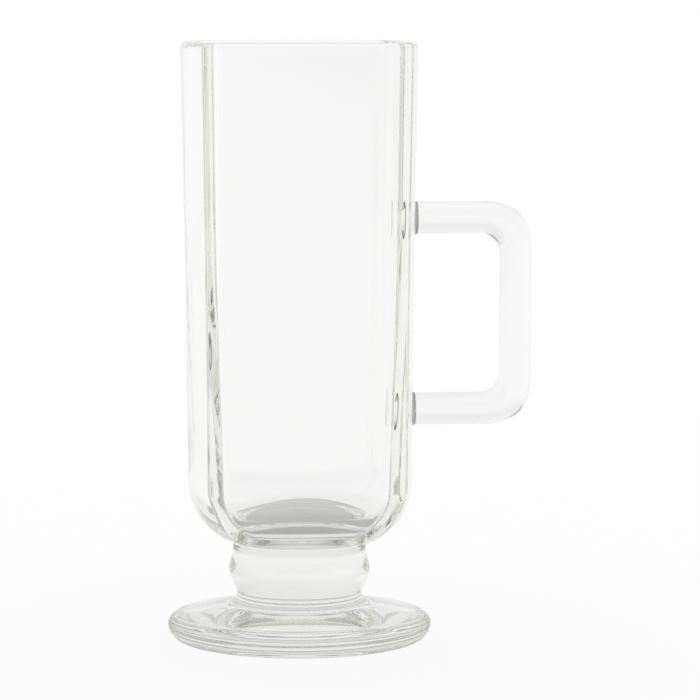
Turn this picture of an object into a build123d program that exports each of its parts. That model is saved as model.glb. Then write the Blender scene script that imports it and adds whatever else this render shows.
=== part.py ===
"""Irish coffee mug of thick clear glass: a soft square bowl, a ringed stem, a round foot and a rod handle.

Millimetres, +Z up. The origin lies on the mug's axis, in the plane the foot stands on.
The handle points along +X and the bowl's flat-looking front faces -Y.
"""
import math
import os

from build123d import *

os.makedirs("parts", exist_ok=True)

# Overall
MUG_HEIGHT = 158.8

# Bowl outside: four gently bulged sides that meet in upright edges at 45 degrees
RIM_HALF_SIDE = 31.05  # axis to the middle of a side, at the rim
HEEL_HALF_SIDE = 29.5  # the same where the upright wall runs into the rounded heel
FLARE_POWER = 1.5  # above 1, most of the widening is near the rim
CORNER_SHARE = 1.242  # axis to an upright edge, as a share of the half side
NECK_CORNER_SHARE = 1.16  # the same at the bottom of the heel, on the stem
CORNER_FADE = 3.0  # how fast the corners soften down the heel
HEEL_RADIUS = 16.0
LIP_OUTER_RADIUS = 1.6
LIP_INNER_RADIUS = 1.2

# Bowl inside: the same soft square with well rounded upright corners, and a flat floor
LIP_THICKNESS = 4.5  # glass at the middle of a side, at the rim
UPPER_WALL_THICKNESS = 4.4
MIDDLE_WALL_THICKNESS = 4.4
LOWER_WALL_THICKNESS = 5.9  # just above the rounded corner of the floor
UPPER_WALL_DEPTH = 26.0  # below the rim, where the glass has its upper thickness
MIDDLE_WALL_DEPTH = 62.0
CAVITY_CORNER_SHARE = 1.25  # axis to an upright corner before rounding, as a share of the half side
CAVITY_CORNER_RADIUS = 9.7
FLOOR_CORNER_RADIUS = 10.5  # between the walls and the floor
BASE_THICKNESS = 6.05  # glass between the stem and the cavity's floor

# Stem with its ring
NECK_RADIUS = 17.65  # where the bowl stands on the stem
RING_RADIUS = 18.75
RING_TO_NECK = 7.45  # height of the neck above the ring's widest part
WAIST_RADIUS = 16.6  # where the stem stands on the foot
WAIST_TO_RING = 6.2

# Foot
WAIST_HEIGHT = 13.1
COLLAR_SPREAD = 3.8  # the foot's top turns up into the stem over this width
COLLAR_RISE = 3.6  # and over this height
FOOT_RADIUS = 35.0
FOOT_EDGE_HEIGHT = 4.4  # height of the foot's widest circle
SHOULDER_RISE = 2.7  # from the widest circle to the top of the rounded edge
SHOULDER_INSET = 3.2
STAND_INSET = 4.6  # the flat underside ends this far inside the widest circle

# Handle: a round rod with two bends, thicker in the bends, joined to the wall by two pads
ROD_DIAMETER = 8.6
UPPER_ARM_HEIGHT = 112.2
LOWER_ARM_HEIGHT = 61.3
BAR_REACH = 57.75  # axis of the mug to the middle of the upright bar
BEND_RADIUS = 8.85  # of the rod's middle line
BEND_THICKENING = 1.15
PAD_LENGTH = 1.5
PAD_SPREAD = 0.7  # how much wider a pad is at the wall than the rod
PAD_SINK = 3.0  # how far a pad is drawn into the wall before the wall is cut away from it

# Heights and places that follow from the sizes above
ring_height = WAIST_HEIGHT + WAIST_TO_RING
neck_height = ring_height + RING_TO_NECK
heel_centre_radius = HEEL_HALF_SIDE - HEEL_RADIUS
neck_angle = math.acos((NECK_RADIUS - heel_centre_radius) / HEEL_RADIUS)
heel_top = neck_height + HEEL_RADIUS * math.sin(neck_angle)
floor_height = neck_height + BASE_THICKNESS
rod_radius = ROD_DIAMETER / 2


def wall_half_side(height):
    """Axis to the middle of a side on the upright wall."""
    share = max(height - heel_top, 0) / (MUG_HEIGHT - heel_top)
    return HEEL_HALF_SIDE + (RIM_HALF_SIDE - HEEL_HALF_SIDE) * share**FLARE_POWER


def soft_square(half_side, corner_share):
    """Draws a closed outline of four equal arcs that meet on the diagonals."""
    reach = half_side * corner_share / math.sqrt(2)
    corners = [(reach, -reach), (reach, reach), (-reach, reach), (-reach, -reach)]
    middles = [(half_side, 0), (0, half_side), (-half_side, 0), (0, -half_side)]
    for number, middle in enumerate(middles):
        ThreePointArc(corners[number], middle, corners[(number + 1) % 4])


# Bowl
heel_steps = 8
heel_sections = []
for step in range(heel_steps + 1):
    angle = neck_angle * (1 - step / heel_steps)
    rise = HEEL_RADIUS * (math.sin(neck_angle) - math.sin(angle))
    share = rise / (HEEL_RADIUS * math.sin(neck_angle))
    half_side = heel_centre_radius + HEEL_RADIUS * math.cos(angle)
    corner_share = NECK_CORNER_SHARE + (CORNER_SHARE - NECK_CORNER_SHARE) * share**CORNER_FADE
    heel_sections.append((neck_height + rise, half_side, corner_share))
wall_steps = 6
wall_sections = []
for step in range(wall_steps + 1):
    height = heel_top + (MUG_HEIGHT - heel_top) * step / wall_steps
    wall_sections.append((height, wall_half_side(height), CORNER_SHARE))

wall_glass = [
    (MUG_HEIGHT, LIP_THICKNESS),
    (MUG_HEIGHT - UPPER_WALL_DEPTH, UPPER_WALL_THICKNESS),
    (MUG_HEIGHT - MIDDLE_WALL_DEPTH, MIDDLE_WALL_THICKNESS),
    (floor_height + FLOOR_CORNER_RADIUS, LOWER_WALL_THICKNESS),
]
cavity_wall = [(height, wall_half_side(height) - thickness) for height, thickness in wall_glass]
lower_half_side = cavity_wall[-1][1]
floor_half_side = lower_half_side - FLOOR_CORNER_RADIUS
corner_steps = 6
cavity_corner = []
for step in range(corner_steps + 1):
    angle = math.pi / 2 * step / corner_steps
    height = floor_height + FLOOR_CORNER_RADIUS * (1 - math.cos(angle))
    cavity_corner.append((height, floor_half_side + FLOOR_CORNER_RADIUS * math.sin(angle)))

with BuildPart() as bowl:
    for sections in (heel_sections, wall_sections):
        for height, half_side, corner_share in sections:
            with BuildSketch(Plane.XY.offset(height)):
                with BuildLine():
                    soft_square(half_side, corner_share)
                make_face()
        loft()
    for sections in (cavity_corner, cavity_wall):
        for height, half_side in sections:
            with BuildSketch(Plane.XY.offset(height)) as section:
                with BuildLine():
                    soft_square(half_side, CAVITY_CORNER_SHARE)
                make_face()
                fillet(section.vertices(), radius=CAVITY_CORNER_RADIUS * half_side / lower_half_side)
        loft(mode=Mode.SUBTRACT)
    lip_face = bowl.faces().sort_by(Axis.Z)[-1]
    fillet(lip_face.outer_wire().edges(), radius=LIP_OUTER_RADIUS)
    lip_face = bowl.faces().sort_by(Axis.Z)[-1]
    fillet(lip_face.inner_wires()[0].edges(), radius=LIP_INNER_RADIUS)
bowl.part.label = "bowl"
export_step(bowl.part, "parts/bowl.step")

# Stem
with BuildPart() as stem:
    with BuildSketch(Plane.XZ):
        with BuildLine():
            ring_line = Spline(
                (NECK_RADIUS, neck_height),
                ((3 * NECK_RADIUS + RING_RADIUS) / 4, ring_height + RING_TO_NECK / 2),
                (RING_RADIUS, ring_height),
                (WAIST_RADIUS, WAIST_HEIGHT),
            )
            Polyline(ring_line @ 1, (0, WAIST_HEIGHT), (0, neck_height), ring_line @ 0)
        make_face()
    revolve(axis=Axis.Z)
stem.part.label = "stem"
export_step(stem.part, "parts/stem.step")

# Foot
collar_radius = WAIST_RADIUS + COLLAR_SPREAD
shoulder_radius = FOOT_RADIUS - SHOULDER_INSET
shoulder_height = FOOT_EDGE_HEIGHT + SHOULDER_RISE
stand_radius = FOOT_RADIUS - STAND_INSET

with BuildPart() as foot:
    with BuildSketch(Plane.XZ):
        with BuildLine():
            collar_line = EllipticalCenterArc(
                (collar_radius, WAIST_HEIGHT),
                COLLAR_SPREAD,
                COLLAR_RISE,
                start_angle=180,
                arc_size=90,
            )
            Line(collar_line @ 1, (shoulder_radius, shoulder_height))
            EllipticalCenterArc(
                (shoulder_radius, FOOT_EDGE_HEIGHT),
                SHOULDER_INSET,
                SHOULDER_RISE,
                start_angle=0,
                arc_size=90,
            )
            EllipticalCenterArc(
                (stand_radius, FOOT_EDGE_HEIGHT),
                STAND_INSET,
                FOOT_EDGE_HEIGHT,
                start_angle=270,
                arc_size=90,
            )
            Polyline((stand_radius, 0), (0, 0), (0, WAIST_HEIGHT), collar_line @ 0)
        make_face()
    revolve(axis=Axis.Z)
foot.part.label = "foot"
export_step(foot.part, "parts/foot.step")

# Handle pads: short cones on the arms' axes, cut to the bowl's bulged side
upper_pad_end = wall_half_side(UPPER_ARM_HEIGHT) + PAD_LENGTH
lower_pad_end = wall_half_side(LOWER_ARM_HEIGHT) + PAD_LENGTH
pad_depth = PAD_LENGTH + PAD_SINK
pad_root_radius = rod_radius + PAD_SPREAD * pad_depth / PAD_LENGTH

with BuildPart() as upper_handle_pad:
    for distance, radius in ((upper_pad_end - pad_depth, pad_root_radius), (upper_pad_end, rod_radius)):
        with BuildSketch(Plane.YZ.offset(distance)):
            with Locations((0, UPPER_ARM_HEIGHT)):
                Circle(radius)
    loft()
    add(bowl.part, mode=Mode.SUBTRACT)
upper_handle_pad.part.label = "upper_handle_pad"
export_step(upper_handle_pad.part, "parts/upper_handle_pad.step")

with BuildPart() as lower_handle_pad:
    for distance, radius in ((lower_pad_end - pad_depth, pad_root_radius), (lower_pad_end, rod_radius)):
        with BuildSketch(Plane.YZ.offset(distance)):
            with Locations((0, LOWER_ARM_HEIGHT)):
                Circle(radius)
    loft()
    add(bowl.part, mode=Mode.SUBTRACT)
lower_handle_pad.part.label = "lower_handle_pad"
export_step(lower_handle_pad.part, "parts/lower_handle_pad.step")

# Handle: two arms and an upright bar, joined by two bends that are thickest half way round
bend_centre_reach = BAR_REACH - BEND_RADIUS
bend_steps = 6

with BuildPart() as handle:
    for arm_start, arm_height in ((upper_pad_end, UPPER_ARM_HEIGHT), (lower_pad_end, LOWER_ARM_HEIGHT)):
        with BuildSketch(Plane.YZ.offset(arm_start)):
            with Locations((0, arm_height)):
                Circle(rod_radius)
        extrude(amount=bend_centre_reach - arm_start)
    with BuildSketch(Plane.XY.offset(LOWER_ARM_HEIGHT + BEND_RADIUS)):
        with Locations((BAR_REACH, 0)):
            Circle(rod_radius)
    extrude(amount=UPPER_ARM_HEIGHT - LOWER_ARM_HEIGHT - 2 * BEND_RADIUS)
    for arm_height, side in ((UPPER_ARM_HEIGHT, 1), (LOWER_ARM_HEIGHT, -1)):
        for step in range(bend_steps + 1):
            turn = math.pi / 2 * step / bend_steps
            thickening = 1 + (BEND_THICKENING - 1) * math.sin(2 * turn) ** 2
            middle = (
                bend_centre_reach + BEND_RADIUS * math.sin(turn),
                0,
                arm_height - side * BEND_RADIUS * (1 - math.cos(turn)),
            )
            direction = (math.cos(turn), 0, -side * math.sin(turn))
            with BuildSketch(Plane(origin=middle, x_dir=(0, 1, 0), z_dir=direction)):
                Ellipse(rod_radius, rod_radius * thickening)
        loft()
handle.part.label = "handle"
export_step(handle.part, "parts/handle.step")
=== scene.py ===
import math
from collections import namedtuple

import bpy
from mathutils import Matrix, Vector


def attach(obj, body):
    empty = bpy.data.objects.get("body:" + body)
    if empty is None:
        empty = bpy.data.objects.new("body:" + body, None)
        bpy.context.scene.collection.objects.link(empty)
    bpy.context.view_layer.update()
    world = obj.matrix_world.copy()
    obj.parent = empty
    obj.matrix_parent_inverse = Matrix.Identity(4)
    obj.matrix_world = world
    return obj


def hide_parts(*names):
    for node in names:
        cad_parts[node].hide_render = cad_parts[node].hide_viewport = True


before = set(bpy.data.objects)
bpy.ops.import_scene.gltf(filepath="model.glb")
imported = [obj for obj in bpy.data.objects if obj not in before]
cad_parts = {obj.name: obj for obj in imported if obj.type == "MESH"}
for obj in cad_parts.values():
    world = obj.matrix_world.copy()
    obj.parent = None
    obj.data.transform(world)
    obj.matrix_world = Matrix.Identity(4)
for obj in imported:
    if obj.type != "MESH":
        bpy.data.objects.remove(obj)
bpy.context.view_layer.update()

MM = 0.001  # metres in a millimetre

# Sizes in millimetres, the same as the CAD model's. Bowl outside:
MUG_HEIGHT = 158.8
RIM_HALF_SIDE = 31.05  # axis to the middle of a side, at the rim
HEEL_HALF_SIDE = 29.5  # the same where the upright wall runs into the rounded heel
FLARE_POWER = 1.5  # above 1, most of the widening is near the rim
CORNER_SHARE = 1.242  # axis to an upright edge, as a share of the half side
NECK_CORNER_SHARE = 1.16  # the same at the bottom of the heel, on the stem
CORNER_FADE = 3.0  # how fast the corners soften down the heel
HEEL_RADIUS = 16.0
LIP_OUTER_RADIUS = 1.6
LIP_INNER_RADIUS = 1.2

# Bowl inside
LIP_THICKNESS = 4.5  # glass at the middle of a side, at the rim
UPPER_WALL_THICKNESS = 4.4
MIDDLE_WALL_THICKNESS = 4.4
LOWER_WALL_THICKNESS = 5.9  # just above the rounded corner of the cup's floor
UPPER_WALL_DEPTH = 26.0  # below the rim, where the glass has its upper thickness
MIDDLE_WALL_DEPTH = 62.0
CAVITY_CORNER_SHARE = 1.25  # axis to an upright corner before rounding, as a share of the half side
FLOOR_CORNER_RADIUS = 10.5  # between the walls and the cup's floor
FLOOR_HEIGHT = 32.8  # of the cup's floor above the table

# Stem with its ring
NECK_HEIGHT = 26.75  # where the bowl stands on the stem
NECK_RADIUS = 17.65
RING_RADIUS = 18.75
RING_HEIGHT = 19.3
WAIST_RADIUS = 16.6  # where the stem stands on the foot
WAIST_HEIGHT = 13.1

# Foot
COLLAR_SPREAD = 3.8  # the foot's top turns up into the stem over this width
COLLAR_RISE = 3.6  # and over this height
FOOT_RADIUS = 35.0
FOOT_EDGE_HEIGHT = 4.4  # height of the foot's widest circle
SHOULDER_RISE = 2.7  # from the widest circle to the top of the rounded edge
SHOULDER_INSET = 3.2
STAND_INSET = 4.6  # the flat underside ends this far inside the widest circle

# Handle
ROD_RADIUS = 4.3
UPPER_ARM_HEIGHT = 112.2
LOWER_ARM_HEIGHT = 61.3
BAR_REACH = 57.75  # axis of the mug to the middle of the upright bar
BEND_RADIUS = 8.85  # of the rod's middle line
BEND_THICKENING = 1.15  # how many times as thick the rod is in the middle of a bend
PAD_LENGTH = 1.5
PAD_SPREAD = 0.7  # how much wider a pad is at the wall than the rod

# Finer forms that only the visual model has
ARRIS_ROUNDING = 0.6  # width over which two sides of the bowl blend at an upright edge
CAVITY_ROUNDING = 2.0  # the same inside
NECK_FILLET = 0.6  # width of the hollow between the stem and the heel
NECK_FILLET_RISE = 1.2 * NECK_FILLET
NECK_FILLET_END = 110  # degrees, where the hollow runs into the heel
STEM_SWELL_RISE = 3.0  # height above the waist of a point on the stem's swelling side
STEM_SWELL_SHARE = 0.63  # how far that point is from the waist's radius to the ring's
PAD_ROOT = 2.5  # how far a pad is drawn into the wall before the two are joined
PAD_ROOT_SPREAD = 1.4 * PAD_SPREAD
BEND_SHIFT = 0.4  # how far the rod leans outwards in the middle of a bend

# How finely each stretch of the surface is divided
STEPS_PER_HALF_SIDE = 32
UNDERSIDE_STEPS = 16
FOOT_EDGE_STEPS = 16
SHOULDER_STEPS = 14
FOOT_TOP_STEPS = 10
COLLAR_STEPS = 14
STEM_STEPS = 8
NECK_FILLET_STEPS = 6
HEEL_STEPS = 30
HEEL_FIRST_STEP = 2  # the hollow takes the place of the steps before it
WALL_STEPS = 48
LIP_STEPS = 8
LIP_TOP_STEPS = 4
CAVITY_STEPS = 16
FLOOR_CORNER_STEPS = 18
FLOOR_STEPS = 8
FLOOR_MIDDLE_SIZE = 0.5  # millimetres, half the width of the last ring on the cup's floor
ROD_SEGMENTS = 64
PAD_STEPS = 8
BEND_STEPS = 24
ARM_STEPS = 9
BAR_STEPS = 12
SHARP_ANGLE = math.radians(35)  # faces that meet at more than this keep a crisp edge

# Glass
COLOUR_AFTER_A_METRE = (0.25, 0.265, 0.165)  # what is left of red, green and blue light
GLASS_IOR = 1.52
WAVE_STRENGTH = 0.1
WAVE_DETAIL = 1.0
WAVE_HEIGHT = 0.2  # millimetres
SEAM_GREYS = [(0.0, 0.40), (0.5, 0.60), (1.0, 1.0)]  # share of a pad's length, light let through

# Width of the surface waves in millimetres, and whether the glass darkens at a seam with the wall.
# The pressed body has broader waves than the drawn rod.
FINISHES = {
    "bowl": (17, False),
    "stem": (14, False),
    "foot": (14, False),
    "handle": (9, False),
    "upper_handle_pad": (6, True),
    "lower_handle_pad": (6, True),
}
PIECES = list(FINISHES)

# Studio in metres: brightest on the left, as in the photograph, and dimmer towards the right
LEFT_BRIGHTNESS = 1.0
RIGHT_BRIGHTNESS = 0.93
STUDIO_FLOOR_HALF_SIZE = 30.0
STUDIO_FLOOR_GAP = 0.0002  # below the foot, so that the two share no plane
PAINTED_FLOOR_FALLOFF_SPREAD = 1.0  # its glow for rays through glass, a painted light falloff, dims from this far left of the mug to this far right of it

# The floor's painted shadow pool: an oval under the foot and in front of it
POOL_SHIFT = 0.025  # from the mug's axis towards the camera
POOL_NARROWING = 1.6  # times longer than wide
GLOWS_FOR_CAMERA = [(0.2, 0.95), (0.9, 1.0)]  # distance from the pool's middle, share of plain white
GLASS_GLOWS_WITH_PAINTED_SHADOW = [(0.048, 0.46), (0.066, 0.78), (0.22, 0.92)]  # the same for rays through glass, lower near the foot as a painted shadow
PAINTED_SHADOW_GREYS = [(0.04, 0.3), (0.10, 0.6), (0.2, 0.92)]  # distance, grey of the paper: a painted shadow, darker near the mug

# The room behind the mug and behind the camera: sine of the angle above the horizon, brightness
BACK_GREYS = [(0.0, 0.98), (0.3, 0.91), (0.55, 0.95), (0.8, 1.0)]
FRONT_GREYS = [(0.0, 1.0), (0.12, 0.87), (0.35, 0.35), (0.6, 0.35), (0.95, 0.8)]
FRONT_START = 0.05  # Y of the direction where the back of the room starts to turn into the front
FRONT_END = -0.45  # and where it has done so

# Camera: distances in metres, and pixels of the 700 x 700 image
CAMERA_DISTANCE = 0.980
CAMERA_HEIGHT = 0.17334
CAMERA_TURN = math.radians(5.1)
CAMERA_TILT = math.radians(5.60)
IMAGE_WIDTH = 700
FOCAL_PIXELS = 3713.0
AXIS_OFFSET_PIXELS = 51.2  # the mug's axis lies this far left of the image's middle
SENSOR_WIDTH = 36.0  # millimetres
NEAREST_SEEN = 0.05
FARTHEST_SEEN = 200.0

LIGHT_BOUNCES = 64

# Places that follow from the sizes above
heel_centre_radius = HEEL_HALF_SIDE - HEEL_RADIUS
neck_angle = math.acos((NECK_RADIUS - heel_centre_radius) / HEEL_RADIUS)
heel_rise = HEEL_RADIUS * math.sin(neck_angle)
heel_top = NECK_HEIGHT + heel_rise


def wall_half_side(height):
    """Axis to the middle of a side on the upright wall."""
    share = max(height - heel_top, 0) / (MUG_HEIGHT - heel_top)
    return HEEL_HALF_SIDE + (RIM_HALF_SIDE - HEEL_HALF_SIDE) * share**FLARE_POWER


def side_distance(half_side, corner_share, angle):
    """Distance from the axis to one bulged side, at an angle from the middle of that side."""
    reach = half_side * corner_share / math.sqrt(2)
    sagitta = half_side - reach
    radius = (sagitta**2 + reach**2) / (2 * sagitta)
    centre = half_side - radius
    return centre * math.cos(angle) + math.sqrt(radius**2 - (centre * math.sin(angle)) ** 2)


def soft_square_distance(half_side, corner_share, rounding, angle):
    """Distance from the axis to the soft square outline, with its upright edges rounded."""
    quarter = math.pi / 2
    turn = (angle + quarter / 2) % quarter - quarter / 2
    near = side_distance(half_side, corner_share, turn)
    far = side_distance(half_side, corner_share, quarter - abs(turn))
    overlap = max(rounding - abs(far - near), 0.0)
    return near - overlap**2 / (4 * rounding)


def ring_angles():
    """Angles round the mug, closest together at the upright edges."""
    angles = []
    for side in range(4):
        for step in range(-STEPS_PER_HALF_SIDE, STEPS_PER_HALF_SIDE):
            share = step / STEPS_PER_HALF_SIDE
            turn = math.copysign(1 - (1 - abs(share)) ** 2, share) * math.pi / 4
            angles.append(side * math.pi / 2 + turn)
    return angles


ANGLES = ring_angles()


def round_ring(radius, height):
    return [(radius * math.cos(angle), radius * math.sin(angle), height) for angle in ANGLES]


def square_ring(half_side, corner_share, rounding, height):
    ring = []
    for angle in ANGLES:
        distance = soft_square_distance(half_side, corner_share, rounding, angle)
        ring.append((distance * math.cos(angle), distance * math.sin(angle), height))
    return ring


def mixed_ring(first, second, share):
    """A ring between two rings, point by point."""
    return [tuple(Vector(a).lerp(Vector(b), share)) for a, b in zip(first, second)]


def smooth_line(points, steps):
    """Points on a Catmull-Rom curve through the given (radius, height) points."""
    line = []
    for number in range(len(points) - 1):
        before = Vector(points[max(number - 1, 0)])
        start = Vector(points[number])
        end = Vector(points[number + 1])
        after = Vector(points[min(number + 2, len(points) - 1)])
        for step in range(steps):
            t = step / steps
            line.append(tuple(0.5 * (
                2 * start
                + (end - before) * t
                + (2 * before - 5 * start + 4 * end - after) * t**2
                + (3 * start - before - 3 * end + after) * t**3
            )))
    line.append(tuple(points[-1]))
    return line


def straight_line(start, end, steps):
    """Points from start to end, without the start."""
    return [tuple(Vector(start).lerp(Vector(end), step / steps)) for step in range(1, steps + 1)]


def elliptic_line(centre, width, height, start, end, steps):
    """Points on part of an ellipse, between two angles in degrees, without the first."""
    line = []
    for step in range(1, steps + 1):
        angle = math.radians(start + (end - start) * step / steps)
        line.append((centre[0] + width * math.cos(angle), centre[1] + height * math.sin(angle)))
    return line


def circular_line(centre, radius, start, end, steps):
    """The same on a circle."""
    return elliptic_line(centre, radius, radius, start, end, steps)


# Rings from the middle of the underside up the outside, over the lip and down to the cup's floor
def foot_rings():
    stand_radius = FOOT_RADIUS - STAND_INSET
    shoulder_radius = FOOT_RADIUS - SHOULDER_INSET
    stand_centre = (stand_radius, FOOT_EDGE_HEIGHT)
    shoulder_centre = (shoulder_radius, FOOT_EDGE_HEIGHT)
    shoulder_top = (shoulder_radius, FOOT_EDGE_HEIGHT + SHOULDER_RISE)
    collar_radius = WAIST_RADIUS + COLLAR_SPREAD
    collar_centre = (collar_radius, WAIST_HEIGHT)
    collar_base = (collar_radius, WAIST_HEIGHT - COLLAR_RISE)
    line = straight_line((0, 0), (stand_radius, 0), UNDERSIDE_STEPS)
    line += elliptic_line(stand_centre, STAND_INSET, FOOT_EDGE_HEIGHT, -90, 0, FOOT_EDGE_STEPS)
    line += elliptic_line(shoulder_centre, SHOULDER_INSET, SHOULDER_RISE, 0, 90, SHOULDER_STEPS)
    line += straight_line(shoulder_top, collar_base, FOOT_TOP_STEPS)
    line += elliptic_line(collar_centre, COLLAR_SPREAD, COLLAR_RISE, 270, 180, COLLAR_STEPS)
    return [round_ring(radius, height) for radius, height in line]


def stem_rings():
    swell_radius = WAIST_RADIUS + STEM_SWELL_SHARE * (RING_RADIUS - WAIST_RADIUS)
    half_way_radius = (3 * NECK_RADIUS + RING_RADIUS) / 4  # nearer to the neck's than to the ring's
    points = [
        (WAIST_RADIUS, WAIST_HEIGHT),
        (swell_radius, WAIST_HEIGHT + STEM_SWELL_RISE),
        (RING_RADIUS, RING_HEIGHT),
        (half_way_radius, (RING_HEIGHT + NECK_HEIGHT) / 2),
        (NECK_RADIUS, NECK_HEIGHT - NECK_FILLET),
    ]
    return [round_ring(radius, height) for radius, height in smooth_line(points, STEM_STEPS)[1:]]


def heel_rings():
    """The hollow above the stem, then the heel, whose corners sharpen on the way up."""
    hollow_centre = (NECK_RADIUS + NECK_FILLET, NECK_HEIGHT - NECK_FILLET)
    hollow = elliptic_line(
        hollow_centre, NECK_FILLET, NECK_FILLET_RISE, 180, NECK_FILLET_END, NECK_FILLET_STEPS
    )
    rings = [round_ring(radius, height) for radius, height in hollow]
    for step in range(HEEL_FIRST_STEP, HEEL_STEPS + 1):
        angle = neck_angle * (1 - step / HEEL_STEPS)
        rise = HEEL_RADIUS * (math.sin(neck_angle) - math.sin(angle))
        fade = (rise / heel_rise) ** CORNER_FADE
        corner_share = NECK_CORNER_SHARE + (CORNER_SHARE - NECK_CORNER_SHARE) * fade
        half_side = heel_centre_radius + HEEL_RADIUS * math.cos(angle)
        rings.append(square_ring(half_side, corner_share, ARRIS_ROUNDING, NECK_HEIGHT + rise))
    return rings


def wall_rings():
    rings = []
    wall_top = MUG_HEIGHT - LIP_OUTER_RADIUS
    for step in range(1, WALL_STEPS + 1):
        height = heel_top + (wall_top - heel_top) * step / WALL_STEPS
        rings.append(square_ring(wall_half_side(height), CORNER_SHARE, ARRIS_ROUNDING, height))
    return rings


def lip_rings():
    """Up round the lip's outer edge, across its top and down round its inner edge."""
    outer_centre = (RIM_HALF_SIDE - LIP_OUTER_RADIUS, MUG_HEIGHT - LIP_OUTER_RADIUS)
    mouth = RIM_HALF_SIDE - LIP_THICKNESS
    inner_centre = (mouth + LIP_INNER_RADIUS, MUG_HEIGHT - LIP_INNER_RADIUS)
    rings = []
    for half_side, height in circular_line(outer_centre, LIP_OUTER_RADIUS, 0, 90, LIP_STEPS):
        rings.append(square_ring(half_side, CORNER_SHARE, ARRIS_ROUNDING, height))
    outer_edge = rings[-1]
    inner_edge = square_ring(inner_centre[0], CAVITY_CORNER_SHARE, CAVITY_ROUNDING, MUG_HEIGHT)
    for step in range(1, LIP_TOP_STEPS + 1):
        rings.append(mixed_ring(outer_edge, inner_edge, step / LIP_TOP_STEPS))
    for half_side, height in circular_line(inner_centre, LIP_INNER_RADIUS, 90, 180, LIP_STEPS):
        rings.append(square_ring(half_side, CAVITY_CORNER_SHARE, CAVITY_ROUNDING, height))
    return rings


def cavity_rings():
    """Down the inside of the wall, round the corner and in over the cup's floor."""
    wall_glass = [
        (MUG_HEIGHT - LIP_INNER_RADIUS, LIP_THICKNESS),
        (MUG_HEIGHT - UPPER_WALL_DEPTH, UPPER_WALL_THICKNESS),
        (MUG_HEIGHT - MIDDLE_WALL_DEPTH, MIDDLE_WALL_THICKNESS),
        (FLOOR_HEIGHT + FLOOR_CORNER_RADIUS, LOWER_WALL_THICKNESS),
    ]
    wall_points = [(wall_half_side(height) - thickness, height) for height, thickness in wall_glass]
    line = smooth_line(wall_points, CAVITY_STEPS)[1:]
    lower_half_side, corner_height = line[-1]
    floor_half_side = lower_half_side - FLOOR_CORNER_RADIUS
    corner_centre = (floor_half_side, corner_height)
    line += circular_line(corner_centre, FLOOR_CORNER_RADIUS, 0, -90, FLOOR_CORNER_STEPS)
    line += straight_line((floor_half_side, FLOOR_HEIGHT), (FLOOR_MIDDLE_SIZE, FLOOR_HEIGHT), FLOOR_STEPS)
    rings = []
    for half_side, height in line:
        rounding = CAVITY_ROUNDING * min(half_side / lower_half_side, 1)
        rings.append(square_ring(half_side, CAVITY_CORNER_SHARE, rounding, height))
    return rings


class Skin:
    """Vertices and faces of a closed surface made of rings, with the piece that each face belongs to."""

    def __init__(self):
        self.points = []
        self.faces = []
        self.piece_numbers = []

    def add_ring(self, ring):
        first = len(self.points)
        self.points += ring
        return range(first, first + len(ring))

    def join_rings(self, lower, upper, piece):
        count = len(lower)
        for number in range(count):
            after = (number + 1) % count
            self.add_face((lower[number], lower[after], upper[after], upper[number]), piece)

    def close_ring(self, ring, middle, piece, flip):
        centre = self.add_ring([middle])[0]
        count = len(ring)
        for number in range(count):
            after = (number + 1) % count
            corners = (ring[after], ring[number], centre) if flip else (ring[number], ring[after], centre)
            self.add_face(corners, piece)

    def add_face(self, corners, piece):
        self.faces.append(corners)
        self.piece_numbers.append(PIECES.index(piece))

    def to_object(self, name, materials):
        mesh = bpy.data.meshes.new(name)
        mesh.from_pydata([Vector(point) * MM for point in self.points], [], self.faces)
        for material in materials:
            mesh.materials.append(material)
        mesh.polygons.foreach_set("material_index", self.piece_numbers)
        mesh.update()
        made = bpy.data.objects.new(name, mesh)
        bpy.context.scene.collection.objects.link(made)
        return made


def body_skin():
    skin = Skin()
    stages = [
        ("foot", foot_rings()),
        ("stem", stem_rings()),
        ("bowl", heel_rings()),
        ("bowl", wall_rings()),
        ("bowl", lip_rings()),
        ("bowl", cavity_rings()),
    ]
    last = None
    for piece, rings in stages:
        for ring in rings:
            numbers = skin.add_ring(ring)
            if last is None:
                skin.close_ring(numbers, (0, 0, 0), piece, True)
            else:
                skin.join_rings(last, numbers, piece)
            last = numbers
    skin.close_ring(last, (0, 0, FLOOR_HEIGHT), "bowl", False)
    return skin


# A place along the handle. The thickness is the half width in the plane of the bends.
Station = namedtuple("Station", ["piece", "middle", "direction", "thickness"])


def pad_stations(piece, wall, height, side):
    """Stations of one pad, from inside the wall out to the rod."""
    spots = [(wall - PAD_ROOT, ROD_RADIUS + PAD_ROOT_SPREAD)]
    for step in range(PAD_STEPS + 1):
        share = step / PAD_STEPS
        spots.append((wall + PAD_LENGTH * share, ROD_RADIUS + PAD_SPREAD * (1 - share) ** 2))
    return [Station(piece, (x, 0, height), (side, 0, 0), radius) for x, radius in spots]


def bend_stations(height, side):
    """Stations of one bend, from its arm to the upright bar."""
    stations = []
    for step in range(BEND_STEPS + 1):
        turn = math.pi / 2 * step / BEND_STEPS
        swell = math.sin(2 * turn) ** 2
        reach = BEND_RADIUS + BEND_SHIFT * swell
        x = BAR_REACH - BEND_RADIUS + reach * math.sin(turn)
        z = height - side * (BEND_RADIUS - reach * math.cos(turn))
        direction = (side * math.cos(turn), 0, -math.sin(turn))
        thickness = ROD_RADIUS * (1 + (BEND_THICKENING - 1) * swell)
        stations.append(Station("handle", (x, 0, z), direction, thickness))
    return stations


def straight_stations(start, end, direction, steps):
    """Stations of a straight stretch of the rod between two stations, without these."""
    first = Vector(start.middle)
    last = Vector(end.middle)
    middles = [first.lerp(last, step / steps) for step in range(1, steps)]
    return [Station("handle", tuple(middle), direction, ROD_RADIUS) for middle in middles]


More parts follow.
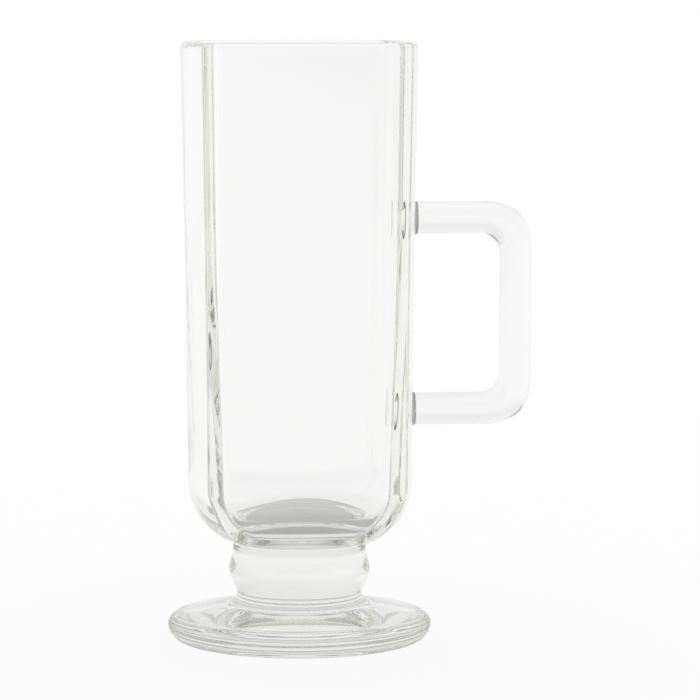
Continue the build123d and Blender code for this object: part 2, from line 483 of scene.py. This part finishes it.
def rod_stations():
    """Stations along the whole handle, from the upper pad to the lower one."""
    upper_wall = wall_half_side(UPPER_ARM_HEIGHT)
    lower_wall = wall_half_side(LOWER_ARM_HEIGHT)
    upper_pad = pad_stations("upper_handle_pad", upper_wall, UPPER_ARM_HEIGHT, 1)
    lower_pad = pad_stations("lower_handle_pad", lower_wall, LOWER_ARM_HEIGHT, -1)
    upper_bend = bend_stations(UPPER_ARM_HEIGHT, 1)
    lower_bend = bend_stations(LOWER_ARM_HEIGHT, -1)
    upper_arm = straight_stations(upper_pad[-1], upper_bend[0], (1, 0, 0), ARM_STEPS)
    bar = straight_stations(upper_bend[-1], lower_bend[-1], (0, 0, -1), BAR_STEPS)
    lower_arm = straight_stations(lower_bend[0], lower_pad[-1], (-1, 0, 0), ARM_STEPS)
    return upper_pad + upper_arm + upper_bend + bar + lower_bend[::-1] + lower_arm + lower_pad[::-1]


def station_ring(station):
    """A ring round one station. The bends are thicker only in their own plane."""
    sideways = Vector((0, 1, 0))
    upward = Vector(station.direction).cross(sideways)
    across = ROD_RADIUS if station.piece == "handle" else station.thickness
    ring = []
    for segment in range(ROD_SEGMENTS):
        angle = 2 * math.pi * segment / ROD_SEGMENTS
        offset = sideways * (across * math.cos(angle)) + upward * (station.thickness * math.sin(angle))
        ring.append(tuple(Vector(station.middle) + offset))
    return ring


def handle_skin():
    """The rod with its pads. Faces between a pad's outer ring and the next ring belong to the rod."""
    skin = Skin()
    stations = rod_stations()
    first = stations[0]
    final = stations[-1]
    last_numbers = skin.add_ring(station_ring(first))
    skin.close_ring(last_numbers, first.middle, first.piece, False)
    for before, station in zip(stations, stations[1:]):
        numbers = skin.add_ring(station_ring(station))
        piece = "handle" if before.piece == "handle" else station.piece
        skin.join_rings(numbers, last_numbers, piece)
        last_numbers = numbers
    skin.close_ring(last_numbers, final.middle, final.piece, True)
    return skin


def fused_mesh(materials):
    """One closed glass surface: the handle joined to the body."""
    body = body_skin().to_object("body", materials)
    rod = handle_skin().to_object("rod", materials)
    union = body.modifiers.new("union", "BOOLEAN")
    union.operation = "UNION"
    union.solver = "EXACT"
    union.object = rod
    mesh = bpy.data.meshes.new_from_object(body.evaluated_get(bpy.context.evaluated_depsgraph_get()))
    for spare in (body, rod):
        spare_mesh = spare.data
        bpy.data.objects.remove(spare)
        bpy.data.meshes.remove(spare_mesh)
    mesh.shade_smooth()
    mesh.set_sharp_from_angle(angle=SHARP_ANGLE)
    return mesh


def cut_piece(mesh, number, name, material):
    """Copies one piece's share of the fused surface, with the normals that it has there."""
    chosen = [face for face in mesh.polygons if face.material_index == number]
    new_numbers = {}
    faces = []
    normals = []
    for face in chosen:
        corners = []
        for loop in face.loop_indices:
            vertex = mesh.loops[loop].vertex_index
            corners.append(new_numbers.setdefault(vertex, len(new_numbers)))
            normals.append(tuple(mesh.corner_normals[loop].vector))
        faces.append(corners)
    piece_mesh = bpy.data.meshes.new(name)
    piece_mesh.from_pydata([mesh.vertices[vertex].co for vertex in new_numbers], [], faces)
    piece_mesh.shade_smooth()
    piece_mesh.normals_split_custom_set(normals)
    piece_mesh.materials.append(material)
    piece = bpy.data.objects.new(name, piece_mesh)
    bpy.context.scene.collection.objects.link(piece)
    return piece


# Nodes that the materials and the world are made of
def empty_tree(owner):
    """The node tree of a material or a world, with nothing in it."""
    owner.use_nodes = True
    owner.node_tree.nodes.clear()
    return owner.node_tree


def math_node(tree, operation, first, second):
    """A Math node fed by two sockets or numbers."""
    node = tree.nodes.new("ShaderNodeMath")
    node.operation = operation
    for socket, value in zip(node.inputs, (first, second)):
        if isinstance(value, (int, float)):
            socket.default_value = value
        else:
            tree.links.new(value, socket)
    return node.outputs["Value"]


def ramp_node(tree, stops, value):
    """A colour ramp with smooth steps between (position, grey) stops."""
    ramp = tree.nodes.new("ShaderNodeValToRGB")
    ramp.color_ramp.interpolation = "EASE"
    while len(ramp.color_ramp.elements) < len(stops):
        ramp.color_ramp.elements.new(0.5)
    for element, (position, grey) in zip(ramp.color_ramp.elements, stops):
        element.position = position
        element.color = (grey, grey, grey, 1)
    tree.links.new(value, ramp.inputs["Fac"])
    return ramp.outputs["Color"]


def map_range(tree, value, start, end, at_start, at_end):
    """A number that changes evenly from one value to another while the input goes from start to end."""
    node = tree.nodes.new("ShaderNodeMapRange")
    node.inputs["From Min"].default_value = start
    node.inputs["From Max"].default_value = end
    node.inputs["To Min"].default_value = at_start
    node.inputs["To Max"].default_value = at_end
    tree.links.new(value, node.inputs["Value"])
    return node.outputs["Result"]


def axes_of(tree, vector):
    """The X, Y and Z sockets of a vector."""
    node = tree.nodes.new("ShaderNodeSeparateXYZ")
    tree.links.new(vector, node.inputs["Vector"])
    return node.outputs


def mixed_colour(tree, share, first, second):
    """A colour between two colours. The Mix node's sockets share names, so identifiers tell them apart."""
    node = tree.nodes.new("ShaderNodeMix")
    node.data_type = "RGBA"
    sockets = {socket.identifier: socket for socket in [*node.inputs, *node.outputs]}
    tree.links.new(share, sockets["Factor_Float"])
    tree.links.new(first, sockets["A_Color"])
    tree.links.new(second, sockets["B_Color"])
    return sockets["Result_Color"]


def mixed_shader(tree, share, first, second):
    """A shader between two shaders."""
    node = tree.nodes.new("ShaderNodeMixShader")
    for socket, value in zip(node.inputs, (share, first, second)):
        tree.links.new(value, socket)
    return node.outputs["Shader"]


# Glass
def tint_by_length(tree, shader):
    """Dims the light in the glass by the length that it has run inside."""
    path = tree.nodes.new("ShaderNodeLightPath")
    face = tree.nodes.new("ShaderNodeNewGeometry")
    metres_inside = math_node(tree, "MULTIPLY", path.outputs["Ray Length"], face.outputs["Backfacing"])
    tint = tree.nodes.new("ShaderNodeCombineColor")
    for channel, share_left in zip(("Red", "Green", "Blue"), COLOUR_AFTER_A_METRE):
        tree.links.new(math_node(tree, "POWER", share_left, metres_inside), tint.inputs[channel])
    tree.links.new(tint.outputs["Color"], shader.inputs["Color"])


def tint_at_seam(tree, shader):
    """Darkens the glass where a pad is fused to the wall, less and less out to the rod."""
    place = tree.nodes.new("ShaderNodeTexCoord")
    outwards = axes_of(tree, place.outputs["Generated"])["X"]
    tree.links.new(ramp_node(tree, SEAM_GREYS, outwards), shader.inputs["Color"])


def add_waves(tree, shader, wave_size):
    """Gives the glass slight waves in its surface."""
    place = tree.nodes.new("ShaderNodeTexCoord")
    waves = tree.nodes.new("ShaderNodeTexNoise")
    waves.inputs["Scale"].default_value = 1 / (wave_size * MM)
    waves.inputs["Detail"].default_value = WAVE_DETAIL
    tree.links.new(place.outputs["Object"], waves.inputs["Vector"])
    bump = tree.nodes.new("ShaderNodeBump")
    bump.inputs["Strength"].default_value = WAVE_STRENGTH
    bump.inputs["Distance"].default_value = WAVE_HEIGHT * MM
    tree.links.new(waves.outputs["Fac"], bump.inputs["Height"])
    tree.links.new(bump.outputs["Normal"], shader.inputs["Normal"])


def glass_material(name, wave_size, at_seam):
    """Wavy glass, tinted by the length of the light's way through it or darkened at a seam."""
    material = bpy.data.materials.new(name)
    tree = empty_tree(material)
    out = tree.nodes.new("ShaderNodeOutputMaterial")
    shader = tree.nodes.new("ShaderNodeBsdfGlass")
    shader.inputs["Roughness"].default_value = 0.0
    shader.inputs["IOR"].default_value = GLASS_IOR
    tree.links.new(shader.outputs["BSDF"], out.inputs["Surface"])
    if at_seam:
        tint_at_seam(tree, shader)
    else:
        tint_by_length(tree, shader)
    add_waves(tree, shader, wave_size)
    return material


# Studio
def floor_material():
    """Pale paper that glows nearly white for the camera, and less for glass in a painted shadow pool,
    where the paper is painted grey too. Its glow for glass is painted dimmer towards the right.
    """
    material = bpy.data.materials.new("floor")
    tree = empty_tree(material)
    out = tree.nodes.new("ShaderNodeOutputMaterial")
    path = tree.nodes.new("ShaderNodeLightPath")
    place = tree.nodes.new("ShaderNodeNewGeometry")
    seen_by_camera = path.outputs["Is Camera Ray"]
    through_glass = math_node(
        tree, "MAXIMUM", path.outputs["Is Glossy Ray"], path.outputs["Is Transmission Ray"]
    )

    pool = tree.nodes.new("ShaderNodeMapping")
    pool.inputs["Location"].default_value = (0, POOL_SHIFT, 0)
    pool.inputs["Scale"].default_value = (POOL_NARROWING, 1, 1)
    tree.links.new(place.outputs["Position"], pool.inputs["Vector"])
    length = tree.nodes.new("ShaderNodeVectorMath")
    length.operation = "LENGTH"
    tree.links.new(pool.outputs["Vector"], length.inputs[0])
    pool_distance = length.outputs["Value"]

    # The paper's colour is a painted shadow: grey near the mug, pale farther off.
    pale = tree.nodes.new("ShaderNodeBsdfDiffuse")
    tree.links.new(ramp_node(tree, PAINTED_SHADOW_GREYS, pool_distance), pale.inputs["Color"])

    glow = tree.nodes.new("ShaderNodeEmission")
    # For rays through glass the floor's glow is painted brighter on the left and dimmer on the right, as
    # light from the left would fall.
    side_brightness = map_range(
        tree,
        axes_of(tree, place.outputs["Position"])["X"],
        -PAINTED_FLOOR_FALLOFF_SPREAD,
        PAINTED_FLOOR_FALLOFF_SPREAD,
        LEFT_BRIGHTNESS,
        RIGHT_BRIGHTNESS,
    )
    tree.links.new(math_node(tree, "MAXIMUM", seen_by_camera, side_brightness), glow.inputs["Strength"])

    camera_share = ramp_node(tree, GLOWS_FOR_CAMERA, pool_distance)
    # For rays through glass the floor glows less near the foot: a painted shadow.
    painted_shadow_glass_share = ramp_node(tree, GLASS_GLOWS_WITH_PAINTED_SHADOW, pool_distance)
    camera_glow = math_node(tree, "MULTIPLY", seen_by_camera, camera_share)
    glass_glow = math_node(tree, "MULTIPLY", through_glass, painted_shadow_glass_share)
    glow_share = math_node(tree, "ADD", camera_glow, glass_glow)
    paper = mixed_shader(tree, glow_share, pale.outputs["BSDF"], glow.outputs["Emission"])
    tree.links.new(paper, out.inputs["Surface"])
    return material


def make_floor():
    corners = [(-1, -1), (1, -1), (1, 1), (-1, 1)]
    half_size = STUDIO_FLOOR_HALF_SIZE
    mesh = bpy.data.meshes.new("floor")
    points = [(x * half_size, y * half_size, -STUDIO_FLOOR_GAP) for x, y in corners]
    mesh.from_pydata(points, [], [(0, 1, 2, 3)])
    mesh.materials.append(floor_material())
    floor = bpy.data.objects.new("floor", mesh)
    bpy.context.scene.collection.objects.link(floor)
    return floor


def make_world():
    """A pale room, darker at middle heights behind the camera. The camera itself sees plain white."""
    world = bpy.data.worlds.new("studio")
    tree = empty_tree(world)
    out = tree.nodes.new("ShaderNodeOutputWorld")
    path = tree.nodes.new("ShaderNodeLightPath")
    place = tree.nodes.new("ShaderNodeTexCoord")
    direction = axes_of(tree, place.outputs["Generated"])

    room = tree.nodes.new("ShaderNodeBackground")
    back = ramp_node(tree, BACK_GREYS, direction["Z"])
    front = ramp_node(tree, FRONT_GREYS, direction["Z"])
    front_share = map_range(tree, direction["Y"], FRONT_START, FRONT_END, 0.0, 1.0)
    tree.links.new(mixed_colour(tree, front_share, back, front), room.inputs["Color"])
    side_brightness = map_range(tree, direction["X"], -1.0, 1.0, LEFT_BRIGHTNESS, RIGHT_BRIGHTNESS)
    tree.links.new(side_brightness, room.inputs["Strength"])

    white = tree.nodes.new("ShaderNodeBackground")
    white.inputs["Color"].default_value = (1, 1, 1, 1)
    white.inputs["Strength"].default_value = 1.0
    seen = mixed_shader(
        tree, path.outputs["Is Camera Ray"], room.outputs["Background"], white.outputs["Background"]
    )
    tree.links.new(seen, out.inputs["Surface"])
    return world


def make_camera():
    """A long lens at the photograph's angle, a little above the rim, with the mug left of the middle."""
    lens = bpy.data.cameras.new("camera")
    lens.sensor_width = SENSOR_WIDTH
    lens.lens = FOCAL_PIXELS / IMAGE_WIDTH * SENSOR_WIDTH
    lens.clip_start = NEAREST_SEEN
    lens.clip_end = FARTHEST_SEEN
    camera = bpy.data.objects.new("camera", lens)
    bpy.context.scene.collection.objects.link(camera)
    camera.location = (
        -CAMERA_DISTANCE * math.sin(CAMERA_TURN),
        -CAMERA_DISTANCE * math.cos(CAMERA_TURN),
        CAMERA_HEIGHT,
    )
    aim = -CAMERA_TURN - math.atan(AXIS_OFFSET_PIXELS / FOCAL_PIXELS)
    camera.rotation_euler = (math.pi / 2 - CAMERA_TILT, 0, aim)
    return camera


# The mug: one fused surface, cut into the pieces that stand for the CAD nodes
glass = [glass_material("glass_" + name, *FINISHES[name]) for name in PIECES]
whole = fused_mesh(glass)
for number, name in enumerate(PIECES):
    piece = cut_piece(whole, number, "glass_" + name, glass[number])
    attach(piece, "root")
    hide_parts(name)
bpy.data.meshes.remove(whole)

# The studio round it
scene = bpy.context.scene
floor = make_floor()
scene.world = make_world()
scene.camera = make_camera()

# Enough bounces for light that stays long inside the glass, and a plain soft shadow without caustics
scene.cycles.max_bounces = LIGHT_BOUNCES
scene.cycles.transmission_bounces = LIGHT_BOUNCES
scene.cycles.glossy_bounces = LIGHT_BOUNCES
scene.cycles.caustics_refractive = False
scene.cycles.caustics_reflective = False
scene.view_settings.view_transform = "Standard"
